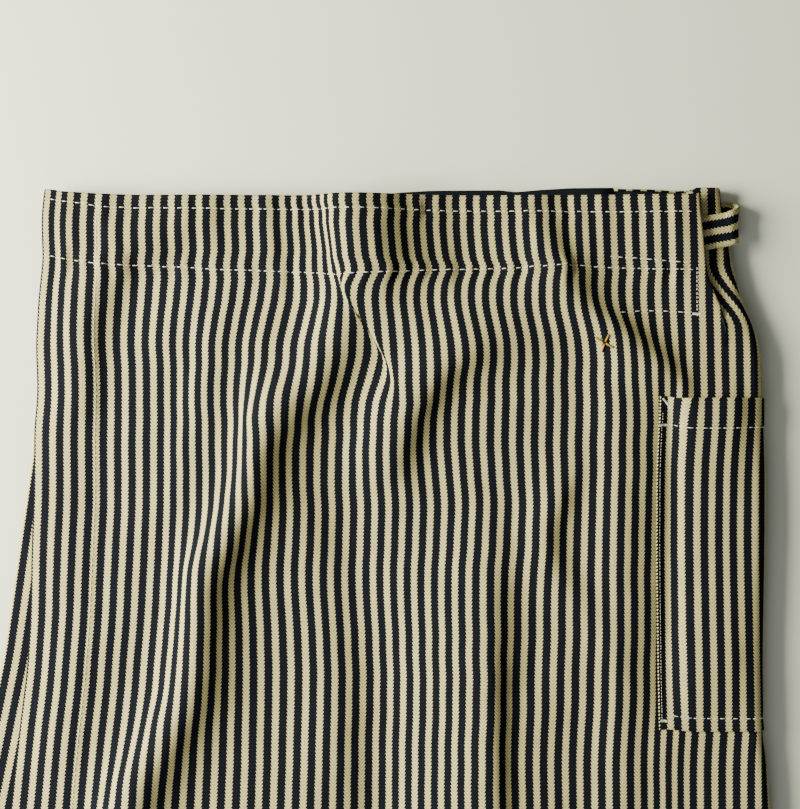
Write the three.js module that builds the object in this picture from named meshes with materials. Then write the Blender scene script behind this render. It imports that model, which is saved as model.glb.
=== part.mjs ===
// A wrap-around butcher's apron of striped cotton drill, wrapped closed and laid flat on its back.
//
// Right here is +X, which is the wearer's left, because the apron lies face up. Read from the outer free
// edge, its one wide cloth goes round the wearer one and a half times: front, right side, back, left side,
// and then an inner wrap that lies behind the front. The top of the cloth is turned to the inside as a
// waist facing, a tie on the inner wrap's end comes out through a slit at the right and goes round that
// side to the back, and a patch pocket is sewn over the right side.
//
// +Y is up towards the waist and +Z is away from the surface it lies on.
// Units are millimetres. The origin is under the middle of the bounding box, on that surface.
import * as THREE from 'three';

// Outline
const LENGTH = 800;                 // waist to hem
const TOP = LENGTH / 2;
const HEM = -LENGTH / 2;
const FRONT_DROP = 5.5;             // the front's waist edge lies this far below the back's
const FRONT_TOP = TOP - FRONT_DROP;

// Cloth and its turned edges
const CLOTH = 1;                    // one thickness of cotton drill
const GAP = 0.3;                    // air between two sheets that lie on each other
const FOLD_GAP = 0.6;               // air between a sheet's edge and the fold it runs into
const STEP_LENGTH = 40;             // length of one facet along y
const FACING_DEPTH = 50;            // waist facing, turned to the inside
const HEM_DEPTH = 38;               // side and bottom hems
const POCKET_HEM_DEPTH = 20;
const THREAD_WIDTH = 0.8;
const THREAD_HEIGHT = 0.3;

// Tie
const TIE_WIDTH = 21;
const TIE_THICKNESS = 1.3;
const TIE_INNER_END = 112;          // x where it is sewn on the inner wrap
const TIE_TAIL_END = -150;          // x where its tail ends, under the back
const TIE_BEND_X = 258;             // x where it starts to turn round the side

// Slit at the right, over the wearer's left hip
const SLIT_X = 240.3;
const SLIT_FOOT = 320;              // y of its lower end
const SLIT_OVERLAP = 14;            // the side band goes this far under the front

// Pocket
const POCKET_LEFT = 215.5;
const POCKET_MOUTH = 267;
const POCKET_FOOT = 56;
const POCKET_ROOM = 7;              // how far the pocket's cloth stands off the front
const POCKET_SEAM = 8;              // flat margin along its sewn edges
const POCKET_SLOPE = 13;            // over which it comes down to that margin
const POCKET_CLEAR = 3.6;           // how far it stands off the side fold
const POCKET_BACK = 40;             // how far it reaches under the back

// The wrap flap turns about this line
const FLAP_HINGE_X = 150;

// Heights of the layers' lower faces, from the surface up
const BACK_LIFT = TIE_THICKNESS + 0.4;
const BACK_FACING_Z = BACK_LIFT + CLOTH + GAP;
const BODY_ROOM = 6;                // the flattened room for the wearer
const INNER_FACING_Z = BACK_FACING_Z + CLOTH + BODY_ROOM + 0.1;
const INNER_Z = INNER_FACING_Z + CLOTH + GAP;
const TIE_Z = INNER_Z + CLOTH + 0.4;
const FRONT_FACING_Z = TIE_Z + TIE_THICKNESS + GAP;
const FRONT_Z = FRONT_FACING_Z + CLOTH + GAP;
const FRONT_FACE_Z = FRONT_Z + CLOTH;
const POCKET_FACE_Z = FRONT_FACE_Z + POCKET_ROOM + CLOTH;

// Silhouettes, as [y, x] from the hem up
const RIGHT_SIDE = [[HEM, 305], [5, 286.5], [180, 284], [265, 279], [300, 275], [345, 265], [TOP, 255]];
const LEFT_SIDE = [[HEM, -305], [105, -205], [240, -186], [TOP, -172]];
const FRONT_LEFT_EDGE = [[HEM, -240], [5, -200], [180, -184], [TOP, -176]];
const INNER_WRAP_END = 150;

const striped = new THREE.MeshStandardMaterial({ color: 0x8b8878, roughness: 0.9, metalness: 0 });
const reverse = new THREE.MeshStandardMaterial({ color: 0x232b3c, roughness: 0.9, metalness: 0 });
const tieCloth = new THREE.MeshStandardMaterial({ color: 0xa59f86, roughness: 0.85, metalness: 0 });
const thread = new THREE.MeshStandardMaterial({ color: 0xd8cfae, roughness: 0.7, metalness: 0 });
const markThread = new THREE.MeshStandardMaterial({ color: 0xc99a2e, roughness: 0.6, metalness: 0 });

const apron = new THREE.Group();

function addPiece(name, geometry, material) {
  const piece = new THREE.Mesh(geometry, material.clone());
  piece.name = name;
  apron.add(piece);
  return piece;
}

// The x of an outline at height y, straight between its points
function edgeAt(outline, y) {
  const last = outline.length - 1;
  let i = 0;
  while (i < last - 1 && y > outline[i + 1][0]) {
    i += 1;
  }
  const [y0, x0] = outline[i];
  const [y1, x1] = outline[i + 1];
  return x0 + ((x1 - x0) * (y - y0)) / (y1 - y0);
}

// 0 below start, 1 above end and straight in between
function ramp(value, start, end) {
  return Math.min(1, Math.max(0, (value - start) / (end - start)));
}

// How far the back lies off the surface: over the tie's tail and over the part of the pocket behind it
function backLift(x, y) {
  const overTie = ramp(y, SLIT_FOOT, 345);
  const insideSide = edgeAt(RIGHT_SIDE, y) - x;
  const besidePocket = 1 - ramp(insideSide, POCKET_BACK + 10, POCKET_BACK + 50);
  const pocketHeights = ramp(y, POCKET_FOOT - 45, POCKET_FOOT - 15);
  return BACK_LIFT * Math.max(overTie, besidePocket * pocketHeights);
}

function stepsAlong(low, high) {
  return Math.max(1, Math.round((high - low) / STEP_LENGTH));
}

// A sheet as a closed solid. place(u, v) gives a point on its lower face and the way to its upper face.
function addSheet(name, material, acrossSteps, alongSteps, place) {
  const geometry = new THREE.BoxGeometry(1, 1, 1, acrossSteps, alongSteps, 1);
  const position = geometry.attributes.position;
  for (let i = 0; i < position.count; i += 1) {
    const { point, through } = place(position.getX(i) + 0.5, position.getY(i) + 0.5);
    if (position.getZ(i) > 0) {
      point.add(through);
    }
    position.setXYZ(i, point.x, point.y, point.z);
  }
  geometry.computeVertexNormals();
  return addPiece(name, geometry, material);
}

// A flat sheet between two heights y and two outlines x(y), with its lower face at height z(x, y)
function addPanel(name, material, [low, high], leftAt, rightAt, zAt, steps = [1, stepsAlong(low, high)]) {
  return addSheet(name, material, steps[0], steps[1], (u, v) => {
    const y = THREE.MathUtils.lerp(low, high, v);
    const x = THREE.MathUtils.lerp(leftAt(y), rightAt(y), u);
    return { point: new THREE.Vector3(x, y, zAt(x, y)), through: new THREE.Vector3(0, 0, CLOTH) };
  });
}

// The half-round fold that joins an upper and a lower sheet at one side. outwards is 1 at the right.
function addSideFold(name, material, [low, high], sideAt, lowerZ, upperZ, outwards) {
  addSheet(name, material, 10, stepsAlong(low, high), (u, v) => {
    const y = THREE.MathUtils.lerp(low, high, v);
    const bottom = lowerZ(sideAt(y), y);
    const outer = (upperZ + CLOTH - bottom) / 2;
    const angle = (Math.PI / 2 - Math.PI * u) * outwards;
    const out = new THREE.Vector3(outwards * Math.cos(angle), 0, Math.sin(angle));
    const centre = new THREE.Vector3(sideAt(y) - outwards * outer, y, bottom + outer);
    return { point: centre.addScaledVector(out, outer - CLOTH), through: out.multiplyScalar(CLOTH) };
  });
}

// How far a fold's centre line lies inside the silhouette
function foldRadius(lowerZ, upperZ) {
  return (upperZ + CLOTH - lowerZ) / 2;
}

// The same x or z everywhere
function level(value) {
  return () => value;
}

// Back ------------------------------------------------------------------------------------------
const rightSide = (y) => edgeAt(RIGHT_SIDE, y);
const leftSide = (y) => edgeAt(LEFT_SIDE, y);
const sideHighZ = (y) => (y > SLIT_FOOT + 1 ? INNER_Z : FRONT_Z);
const rightFoldStart = (y) => rightSide(y) - foldRadius(backLift(rightSide(y), y), sideHighZ(y)) - FOLD_GAP;
const leftFoldEnd = (y) => leftSide(y) + foldRadius(backLift(leftSide(y), y), INNER_Z) + FOLD_GAP;
addPanel('back_panel', striped, [HEM, TOP], leftFoldEnd, rightFoldStart, backLift,
  [12, stepsAlong(HEM, TOP)]);
addPanel('back_waist_facing', reverse, [TOP - FACING_DEPTH, TOP],
  (y) => leftFoldEnd(y) + 1, (y) => rightFoldStart(y) - 1, level(BACK_FACING_Z));
addPanel('back_bottom_hem', reverse, [HEM, HEM + HEM_DEPTH],
  (y) => leftFoldEnd(y) + 1, (y) => rightFoldStart(y) - 1, level(CLOTH + GAP));

// Side folds ------------------------------------------------------------------------------------
addSideFold('right_side_fold', striped, [HEM, SLIT_FOOT - GAP], rightSide, backLift, FRONT_Z, 1);
addSideFold('right_waist_fold', striped, [SLIT_FOOT + GAP, TOP], rightSide, backLift, INNER_Z, 1);
addSideFold('left_side_fold', striped, [HEM, TOP], leftSide, backLift, INNER_Z, -1);

// Inner wrap, behind the front --------------------------------------------------------------------
addPanel('inner_wrap_panel', striped, [HEM, FRONT_TOP - 1],
  leftFoldEnd, level(INNER_WRAP_END), level(INNER_Z));
addPanel('inner_wrap_waist_facing', reverse, [FRONT_TOP - FACING_DEPTH, FRONT_TOP - 1],
  (y) => leftFoldEnd(y) + 1, level(INNER_WRAP_END), level(INNER_FACING_Z));
addPanel('inner_wrap_edge_hem', reverse, [HEM, FRONT_TOP - FACING_DEPTH - GAP],
  level(INNER_WRAP_END - HEM_DEPTH), level(INNER_WRAP_END), level(INNER_FACING_Z));
addPanel('inner_wrap_bottom_hem', reverse, [HEM, HEM + HEM_DEPTH],
  (y) => leftFoldEnd(y) + 1, level(INNER_WRAP_END - HEM_DEPTH - GAP), level(INNER_FACING_Z));

// Front, in two bodies: the flap that opens, and the part that stays ---------------------------------
const flapLeft = (y) => edgeAt(FRONT_LEFT_EDGE, y);
const flapRight = level(FLAP_HINGE_X - GAP / 2);
const frontLeft = level(FLAP_HINGE_X + GAP / 2);
const facingFoot = FRONT_TOP - FACING_DEPTH;
addPanel('front_flap_panel', striped, [HEM, FRONT_TOP], flapLeft, flapRight, level(FRONT_Z));
addPanel('front_flap_waist_facing', reverse, [facingFoot, FRONT_TOP - 0.5],
  (y) => flapLeft(y) + 1, flapRight, level(FRONT_FACING_Z));
addPanel('front_flap_edge_hem', reverse, [HEM, facingFoot - GAP],
  flapLeft, (y) => flapLeft(y) + HEM_DEPTH, level(FRONT_FACING_Z));
addPanel('front_flap_bottom_hem', reverse, [HEM, HEM + HEM_DEPTH],
  (y) => flapLeft(y) + HEM_DEPTH + GAP, flapRight, level(FRONT_FACING_Z));

const panelRight = level(SLIT_X);
addPanel('front_panel', striped, [HEM, FRONT_TOP], frontLeft, panelRight, level(FRONT_Z));
addPanel('front_waist_facing', reverse, [facingFoot, FRONT_TOP - 0.5],
  frontLeft, panelRight, level(FRONT_FACING_Z));
addPanel('front_bottom_hem', reverse, [HEM, HEM + HEM_DEPTH], frontLeft, panelRight, level(FRONT_FACING_Z));
addPanel('slit_patch', reverse, [SLIT_FOOT, facingFoot - GAP],
  level(181), level(SLIT_X - 1), level(FRONT_FACING_Z));

// Right side, from the slit to the fold ----------------------------------------------------------------
addPanel('side_panel', striped, [HEM, SLIT_FOOT - GAP], level(SLIT_X + GAP),
  (y) => rightSide(y) - foldRadius(backLift(rightSide(y), y), FRONT_Z) - FOLD_GAP, level(FRONT_Z));
addPanel('side_band', striped, [SLIT_FOOT + GAP, TOP],
  level(SLIT_X - SLIT_OVERLAP), rightFoldStart, level(INNER_Z));
addPanel('side_band_facing', reverse, [TOP - FACING_DEPTH, TOP],
  level(SLIT_X - SLIT_OVERLAP), (y) => rightFoldStart(y) - 1, level(INNER_FACING_Z));

// Tie: sewn on the inner wrap, out through the slit, round the side and back under the garment ----------
const tieTurnRadius = (TIE_Z + TIE_THICKNESS) / 2;
const tieUpper = TIE_BEND_X - TIE_INNER_END;
const tieTurn = Math.PI * (tieTurnRadius - TIE_THICKNESS / 2);
const tieLower = TIE_BEND_X - TIE_TAIL_END;
const tieLength = tieUpper + tieTurn + tieLower;

// Its middle rises as it goes from the slit to the side, and comes down again along the back
function tieMiddleY(distance) {
  const rise = ramp(distance, SLIT_X - 20 - TIE_INNER_END, tieUpper + tieTurn / 2);
  const fall = ramp(distance, tieUpper + tieTurn, tieLength);
  return 367 + 15 * rise - 8 * fall;
}

addSheet('tie', tieCloth, 60, 1, (u, v) => {
  const distance = u * tieLength;
  const y = tieMiddleY(distance) + (v - 0.5) * TIE_WIDTH;
  const middleZ = tieTurnRadius;
  const turned = ramp(distance, tieUpper, tieUpper + tieTurn);
  const angle = Math.PI / 2 - Math.PI * turned;
  const out = new THREE.Vector3(Math.cos(angle), 0, Math.sin(angle));
  const along = Math.min(distance, tieUpper) - Math.max(0, distance - tieUpper - tieTurn);
  const centre = new THREE.Vector3(TIE_INNER_END + along, y, middleZ);
  return {
    point: centre.addScaledVector(out, tieTurnRadius - TIE_THICKNESS),
    through: out.clone().multiplyScalar(TIE_THICKNESS),
  };
});

// Pocket ----------------------------------------------------------------------------------------------
// It stands off the front in the middle and comes down to it along its sewn left edge and foot
function pocketRise(x, y) {
  const fromEdge = ramp(x, POCKET_LEFT + POCKET_SEAM, POCKET_LEFT + POCKET_SEAM + POCKET_SLOPE);
  const fromFoot = ramp(y, POCKET_FOOT + POCKET_SEAM, POCKET_FOOT + POCKET_SEAM + POCKET_SLOPE);
  return FRONT_FACE_Z + GAP + (POCKET_ROOM - GAP) * Math.min(fromEdge, fromFoot);
}

const pocketOuter = POCKET_FACE_Z / 2;
const pocketSide = (y) => rightSide(y) + POCKET_CLEAR;
const pocketTurnX = (y) => pocketSide(y) - pocketOuter;
const pocketSpan = [POCKET_FOOT, POCKET_MOUTH];
const pocketRisenX = POCKET_LEFT + POCKET_SEAM + POCKET_SLOPE + 6;
const pocketHemY = POCKET_MOUTH - POCKET_HEM_DEPTH;
const pocketHemZ = FRONT_FACE_Z + POCKET_ROOM - CLOTH - GAP;
addPanel('pocket_front', striped, pocketSpan,
  level(POCKET_LEFT), (y) => pocketTurnX(y) - GAP, pocketRise, [8, 26]);
addPanel('pocket_mouth_hem', reverse, [pocketHemY, POCKET_MOUTH - 1],
  level(pocketRisenX), (y) => pocketTurnX(y) - 2, level(pocketHemZ));

// The rest of the pocket goes round the side and a little way under the back
const pocketTurn = Math.PI * (pocketOuter - CLOTH / 2);
const pocketSideLength = pocketTurn + POCKET_BACK - pocketOuter;
addSheet('pocket_side', striped, 18, stepsAlong(...pocketSpan), (u, v) => {
  const y = THREE.MathUtils.lerp(POCKET_FOOT, POCKET_MOUTH, v);
  const distance = u * pocketSideLength;
  const angle = Math.PI / 2 - Math.PI * ramp(distance, 0, pocketTurn);
  const out = new THREE.Vector3(Math.cos(angle), 0, Math.sin(angle));
  const x = pocketTurnX(y) - Math.max(0, distance - pocketTurn);
  const centre = new THREE.Vector3(x, y, pocketOuter);
  return {
    point: centre.addScaledVector(out, pocketOuter - CLOTH),
    through: out.clone().multiplyScalar(CLOTH),
  };
});

// Topstitching: one strip of thread for each sewn row ---------------------------------------------------
function addStitchRow(name, [x0, y0], [x1, y1], faceZ) {
  const run = Math.hypot(x1 - x0, y1 - y0);
  const row = addPiece(name, new THREE.BoxGeometry(run, THREAD_WIDTH, THREAD_HEIGHT), thread);
  row.position.set((x0 + x1) / 2, (y0 + y1) / 2, faceZ + GAP + THREAD_HEIGHT / 2);
  row.rotation.z = Math.atan2(y1 - y0, x1 - x0);
}

const UPPER_ROW_Y = 387;
const LOWER_ROW_Y = 347;
const ROW_END = 2;                  // the rows stop this far short of an edge
const flapTopX = flapLeft(UPPER_ROW_Y) + ROW_END;
const flapHingeX = FLAP_HINGE_X - ROW_END;
const hemRowX = (y) => flapLeft(y) + HEM_DEPTH - ROW_END;
addStitchRow('flap_upper_waist_stitch', [flapTopX, UPPER_ROW_Y], [flapHingeX, UPPER_ROW_Y], FRONT_FACE_Z);
addStitchRow('flap_lower_waist_stitch', [flapTopX, LOWER_ROW_Y], [flapHingeX, LOWER_ROW_Y], FRONT_FACE_Z);
addStitchRow('flap_edge_hem_stitch', [hemRowX(-350), -350], [hemRowX(340), 340], FRONT_FACE_Z);
addStitchRow('flap_bottom_hem_stitch', [hemRowX(-364) + 4, HEM + HEM_DEPTH - 2],
  [flapHingeX, HEM + HEM_DEPTH - 2], FRONT_FACE_Z);
const frontRowStart = FLAP_HINGE_X + ROW_END;
addStitchRow('front_upper_waist_stitch', [frontRowStart, UPPER_ROW_Y],
  [SLIT_X - 4, UPPER_ROW_Y], FRONT_FACE_Z);
addStitchRow('front_lower_waist_stitch', [frontRowStart, 353], [SLIT_X - 6, 353], FRONT_FACE_Z);
addStitchRow('slit_patch_stitch', [190, 322], [SLIT_X - 6, 322], FRONT_FACE_Z);
addStitchRow('slit_edge_stitch', [SLIT_X - 3.5, 325], [SLIT_X - 3.5, 350], FRONT_FACE_Z);
addStitchRow('front_bottom_hem_stitch', [frontRowStart, HEM + HEM_DEPTH - 2],
  [SLIT_X - 1, HEM + HEM_DEPTH - 2], FRONT_FACE_Z);
addStitchRow('pocket_mouth_stitch', [pocketRisenX, pocketHemY + 1],
  [pocketTurnX(pocketHemY) - 2, pocketHemY + 1], POCKET_FACE_Z);
addStitchRow('pocket_edge_stitch', [POCKET_LEFT + 1, POCKET_FOOT + 6], [POCKET_LEFT + 1, POCKET_MOUTH - 25],
  FRONT_FACE_Z + CLOTH + GAP);
addStitchRow('pocket_foot_stitch', [POCKET_LEFT + 4, POCKET_FOOT + 1.5],
  [pocketTurnX(60) - 2, POCKET_FOOT + 1.5], FRONT_FACE_Z + CLOTH + GAP);

// Bartacks: short dense bars of thread with round ends, at the points that take the pull -----------------
const BARTACK_WIDTH = 2;
const BARTACK_HEIGHT = 0.8;

function addBartack(name, x, y, z, length, turn) {
  const half = length / 2 - BARTACK_WIDTH / 2;
  const outline = new THREE.Shape();
  outline.absarc(half, 0, BARTACK_WIDTH / 2, -Math.PI / 2, Math.PI / 2, false);
  outline.absarc(-half, 0, BARTACK_WIDTH / 2, Math.PI / 2, (3 * Math.PI) / 2, false);
  const solid = { depth: BARTACK_HEIGHT, bevelEnabled: false, curveSegments: 6 };
  const tack = addPiece(name, new THREE.ExtrudeGeometry(outline, solid), thread);
  tack.position.set(x, y, z);
  tack.rotation.z = turn;
}

const pocketSeamZ = FRONT_FACE_Z + CLOTH + 3 * GAP;
addBartack('slit_foot_bartack', 236, SLIT_FOOT + 1, FRONT_FACE_Z + 2 * GAP + THREAD_HEIGHT, 5, 0);
addBartack('pocket_corner_bartack', POCKET_LEFT + 1, POCKET_MOUTH - 7, pocketSeamZ, 12, -Math.PI / 4);
addBartack('pocket_mouth_bartack', POCKET_LEFT + 1, POCKET_MOUTH - 19, pocketSeamZ, 6, 0);
addBartack('pocket_foot_bartack', POCKET_LEFT + 0.5, POCKET_FOOT + 3, pocketSeamZ, 4, Math.PI / 2);

// A plain embroidered four-armed stitch mark, above the pocket ---------------------------------------------
const MARK_REACH = 4;
const MARK_WAIST = 1;
const MARK_ARMS = 4;
const mark = new THREE.Shape();
for (let i = 0; i < 2 * MARK_ARMS; i += 1) {
  const reach = i % 2 === 0 ? MARK_REACH : MARK_WAIST;
  const angle = (i * Math.PI) / MARK_ARMS;
  const step = [reach * Math.cos(angle), reach * Math.sin(angle)];
  if (i === 0) {
    mark.moveTo(...step);
  } else {
    mark.lineTo(...step);
  }
}
mark.closePath();
const stitchedMark = addPiece('stitched_mark',
  new THREE.ExtrudeGeometry(mark, { depth: 0.6, bevelEnabled: false }), markThread);
stitchedMark.position.set(179.5, 300, FRONT_FACE_Z + GAP);

export default apron;
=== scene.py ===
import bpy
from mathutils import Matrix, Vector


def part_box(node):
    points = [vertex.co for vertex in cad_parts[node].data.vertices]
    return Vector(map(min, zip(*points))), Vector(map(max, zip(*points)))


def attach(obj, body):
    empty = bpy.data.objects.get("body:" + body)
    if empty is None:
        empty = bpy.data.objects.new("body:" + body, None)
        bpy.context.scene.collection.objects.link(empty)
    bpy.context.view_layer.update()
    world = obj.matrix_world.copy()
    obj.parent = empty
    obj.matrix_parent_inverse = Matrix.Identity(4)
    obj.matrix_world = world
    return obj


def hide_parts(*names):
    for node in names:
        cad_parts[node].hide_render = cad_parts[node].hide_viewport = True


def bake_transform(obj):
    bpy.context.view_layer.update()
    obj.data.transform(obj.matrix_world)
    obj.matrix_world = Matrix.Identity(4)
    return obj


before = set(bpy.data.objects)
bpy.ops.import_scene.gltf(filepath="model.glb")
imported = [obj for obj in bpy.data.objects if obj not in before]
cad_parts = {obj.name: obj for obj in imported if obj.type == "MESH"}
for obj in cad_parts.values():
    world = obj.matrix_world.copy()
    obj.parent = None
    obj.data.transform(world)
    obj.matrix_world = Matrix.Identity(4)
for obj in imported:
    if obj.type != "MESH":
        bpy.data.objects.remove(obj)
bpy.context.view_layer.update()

import math

import bpy
import numpy as np
from mathutils import Vector

# Camera, table and studio lamps. The camera looks straight down on the upper part of the apron,
# which lies on a plain pale table. One large soft lamp stands low on the left and a weak one low in
# front, and the room round them is dim and pale, so the folds shade towards the right.
MM = 0.001


def linear(colour):
    """A colour written as #rrggbb, turned into the linear values that a node socket holds."""
    parts = [int(colour[i:i + 2], 16) / 255 for i in (1, 3, 5)]
    return tuple(c / 12.92 if c <= 0.04045 else ((c + 0.055) / 1.055) ** 2.4 for c in parts) + (1,)


def add(tree, kind, inputs=None, **settings):
    """Adds one node, with its settings, and a value or a link for each named input."""
    node = tree.nodes.new(kind)
    for name, value in settings.items():
        setattr(node, name, value)
    for socket, value in (inputs or {}).items():
        if isinstance(value, bpy.types.NodeSocket):
            tree.links.new(value, node.inputs[socket])
        else:
            node.inputs[socket].default_value = value
    return node


def new_material(name):
    """An empty node material, its tree and its output node."""
    material = bpy.data.materials.new(name)
    material.use_nodes = True
    tree = material.node_tree
    tree.nodes.clear()
    return material, tree, add(tree, "ShaderNodeOutputMaterial")


TABLE_TOP = -0.0004        # just under the cloth, so that the two don't meet
TABLE_SIZE = 6
waist_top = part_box("back_panel")[1][1]
VIEW_X = 0.0496
VIEW_Y = waist_top - 0.1383
LENS = 85
SENSOR = 36
VIEW_WIDTH = 0.5088        # how much of the cloth is seen from side to side
CLOTH_LEVEL = 0.017        # height of the cloth's face

camera_data = bpy.data.cameras.new("camera")
camera_data.lens = LENS
camera_data.sensor_fit = "HORIZONTAL"
camera_data.sensor_width = SENSOR
camera = bpy.data.objects.new("camera", camera_data)
camera.location = (VIEW_X, VIEW_Y, CLOTH_LEVEL + VIEW_WIDTH * LENS / SENSOR)
bpy.context.collection.objects.link(camera)
bpy.context.scene.camera = camera

bpy.ops.object.select_all(action="DESELECT")
bpy.ops.mesh.primitive_plane_add(size=TABLE_SIZE, location=(0, 0, TABLE_TOP))
table = bpy.context.object
table.name = "table"
# Matt laminate table top: pale warm grey with the faintest mottling, no gloss to speak of.
laminate, tree, out = new_material("matt_laminate")
place = add(tree, "ShaderNodeTexCoord").outputs["Object"]
mottle = add(tree, "ShaderNodeTexNoise", {"Vector": place, "Scale": 9, "Detail": 3})
tone = add(tree, "ShaderNodeMix", {0: mottle.outputs["Fac"], 6: linear("#dbdecd"), 7: linear("#dfe2d2")},
           data_type="RGBA")
shell = add(tree, "ShaderNodeBsdfPrincipled", {"Base Color": tone.outputs[2], "Roughness": 0.8,
                                               "Specular IOR Level": 0.2})
tree.links.new(shell.outputs[0], out.inputs[0])
table.data.materials.append(laminate)


def softbox(name, place, aim, size, watts, colour):
    """A square area lamp at place that faces aim."""
    data = bpy.data.lights.new(name, "AREA")
    data.size = size
    data.energy = watts
    data.color = linear(colour)[:3]
    lamp = bpy.data.objects.new(name, data)
    lamp.location = place
    lamp.rotation_euler = (Vector(aim) - Vector(place)).to_track_quat("-Z", "Y").to_euler()
    bpy.context.collection.objects.link(lamp)


softbox("key_softbox", (-1.08, 0.38, 0.62), (0.05, 0.18, 0), 0.8, 86, "#fffbe8")
softbox("fill_softbox", (-0.6, -1.0, 1.4), (0.0, 0.1, 0), 1.2, 10, "#f6f9ff")
room = bpy.data.worlds.new("pale_room")
room.use_nodes = True
room.node_tree.nodes["Background"].inputs[0].default_value = linear("#f4f5ee")
room.node_tree.nodes["Background"].inputs[1].default_value = 0.18
bpy.context.scene.world = room


# The front: one wide piece of striped drill that lies face up. It runs from the free edge at the
# left to the slit at the right, over the wearer's left hip, and on round that side to just under
# the back. It was cut from herringbone drill with woven stripes, and its edges are turned under.
STRIPE_PAIR = 9.25         # one navy and one ecru stripe
FIRST_STRIPE = 6.9         # middle of the first navy stripe, from the free edge
TWILL_PITCH = 2.3          # one rib along the stripe; really 1.6, drawn coarser so that it shows
CLOTH_THICKNESS = 0.9


def striped_drill(name, shift):
    """Yarn-dyed herringbone drill in cotton. Matt and slightly fuzzy, with ribs that meet in a
    small V in the middle of each stripe, which gives the stripes their saw-tooth edges."""
    material, tree, out = new_material(name)
    uv = add(tree, "ShaderNodeUVMap", uv_map="UVMap").outputs[0]
    split = add(tree, "ShaderNodeSeparateXYZ", {0: uv})
    across, along = (add(tree, "ShaderNodeMath", {0: metres, 1: 1 / MM}, operation="MULTIPLY").outputs[0]
                     for metres in split.outputs[:2])
    # Where the point is within its pair of stripes: 0 in the middle of the navy one, 0.5 in the ecru.
    pairs = add(tree, "ShaderNodeMath", {0: across, 1: 1 / STRIPE_PAIR, 2: shift}, operation="MULTIPLY_ADD")
    offset = add(tree, "ShaderNodeMath", {0: pairs.outputs[0], 1: 0.5}, operation="PINGPONG").outputs[0]
    from_rib_point = add(tree, "ShaderNodeMath", {0: offset, 1: 0.25}, operation="PINGPONG").outputs[0]
    # The rib's phase runs along the stripe and slants away from the middle of the stripe.
    slant = add(tree, "ShaderNodeMath", {0: from_rib_point, 1: 1.25 * STRIPE_PAIR / TWILL_PITCH},
                operation="MULTIPLY").outputs[0]
    rib = add(tree, "ShaderNodeMath", {0: along, 1: 1 / TWILL_PITCH, 2: slant}, operation="MULTIPLY_ADD")
    rib_wave = add(tree, "ShaderNodeMath", {0: rib.outputs[0], 1: 0.5}, operation="PINGPONG")
    rib_height = add(tree, "ShaderNodeMath", {0: rib_wave.outputs[0], 1: 2.0},
                     operation="MULTIPLY").outputs[0]
    jagged = add(tree, "ShaderNodeMath", {0: rib_height, 1: 0.1, 2: offset}, operation="MULTIPLY_ADD")
    ecru_share = add(tree, "ShaderNodeMapRange", {0: jagged.outputs[0], 1: 0.332, 2: 0.344})
    # Yarn unevenness: streaks about half a millimetre wide along the warp, and slow fading.
    warp_place = add(tree, "ShaderNodeCombineXYZ", {0: across, 1: add(
        tree, "ShaderNodeMath", {0: along, 1: 0.06}, operation="MULTIPLY").outputs[0]})
    streaks = add(tree, "ShaderNodeTexNoise", {"Vector": warp_place.outputs[0], "Scale": 1.6, "Detail": 2})
    yarn_place = add(tree, "ShaderNodeCombineXYZ", {0: across, 1: along})
    fuzz = add(tree, "ShaderNodeTexNoise", {"Vector": yarn_place.outputs[0], "Scale": 1.3, "Detail": 2})
    fading = add(tree, "ShaderNodeTexNoise", {"Vector": yarn_place.outputs[0], "Scale": 0.022, "Detail": 3})
    weave = add(tree, "ShaderNodeMath", {0: rib_height, 1: 0.62, 2: add(
        tree, "ShaderNodeMath", {0: fuzz.outputs["Fac"], 1: 0.5}, operation="MULTIPLY").outputs[0]},
        operation="MULTIPLY_ADD").outputs[0]
    # The stripes' colours run from dark in the rib valleys to light on the ribs, mixed with the yarn's fuzz:
    # the fuzz is the yarn's own unevenness, and the dark in the rib valleys is painted shade.
    navy = add(tree, "ShaderNodeMix", {0: weave, 6: linear("#020304"), 7: linear("#1e2129")},
               data_type="RGBA").outputs[2]
    ecru = add(tree, "ShaderNodeMix", {0: weave, 6: linear("#5f5942"), 7: linear("#e2d79b")},
               data_type="RGBA").outputs[2]
    striped = add(tree, "ShaderNodeMix", {0: ecru_share.outputs[0], 6: navy, 7: ecru},
                  data_type="RGBA").outputs[2]
    uneven = add(tree, "ShaderNodeMapRange", {0: streaks.outputs["Fac"], 1: 0.3, 2: 0.7, 3: 0.9, 4: 1.08})
    faded = add(tree, "ShaderNodeMapRange", {0: fading.outputs["Fac"], 1: 0.3, 2: 0.7, 3: 0.95, 4: 1.05})
    # Painted shade: the waist band, three cloths thick, is made a tenth darker than the rest of the cloth.
    band = add(tree, "ShaderNodeMapRange", {0: along, 1: 40.0, 2: 56.0, 3: 0.9, 4: 1.0})
    streaks_and_band_shade = add(tree, "ShaderNodeMath", {0: uneven.outputs[0], 1: band.outputs[0]}, operation="MULTIPLY")
    strength = add(tree, "ShaderNodeMath", {0: streaks_and_band_shade.outputs[0], 1: faded.outputs[0]},
                   operation="MULTIPLY")
    colour = add(tree, "ShaderNodeVectorMath", {0: striped, "Scale": strength.outputs[0]}, operation="SCALE")
    relief = add(tree, "ShaderNodeBump", {"Height": weave, "Strength": 0.7, "Distance": 0.0003})
    shell = add(tree, "ShaderNodeBsdfPrincipled", {
        "Base Color": colour.outputs[0], "Roughness": 0.95, "Specular IOR Level": 0.0,
        "Normal": relief.outputs[0]})
    tree.links.new(shell.outputs[0], out.inputs[0])
    return material


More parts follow.
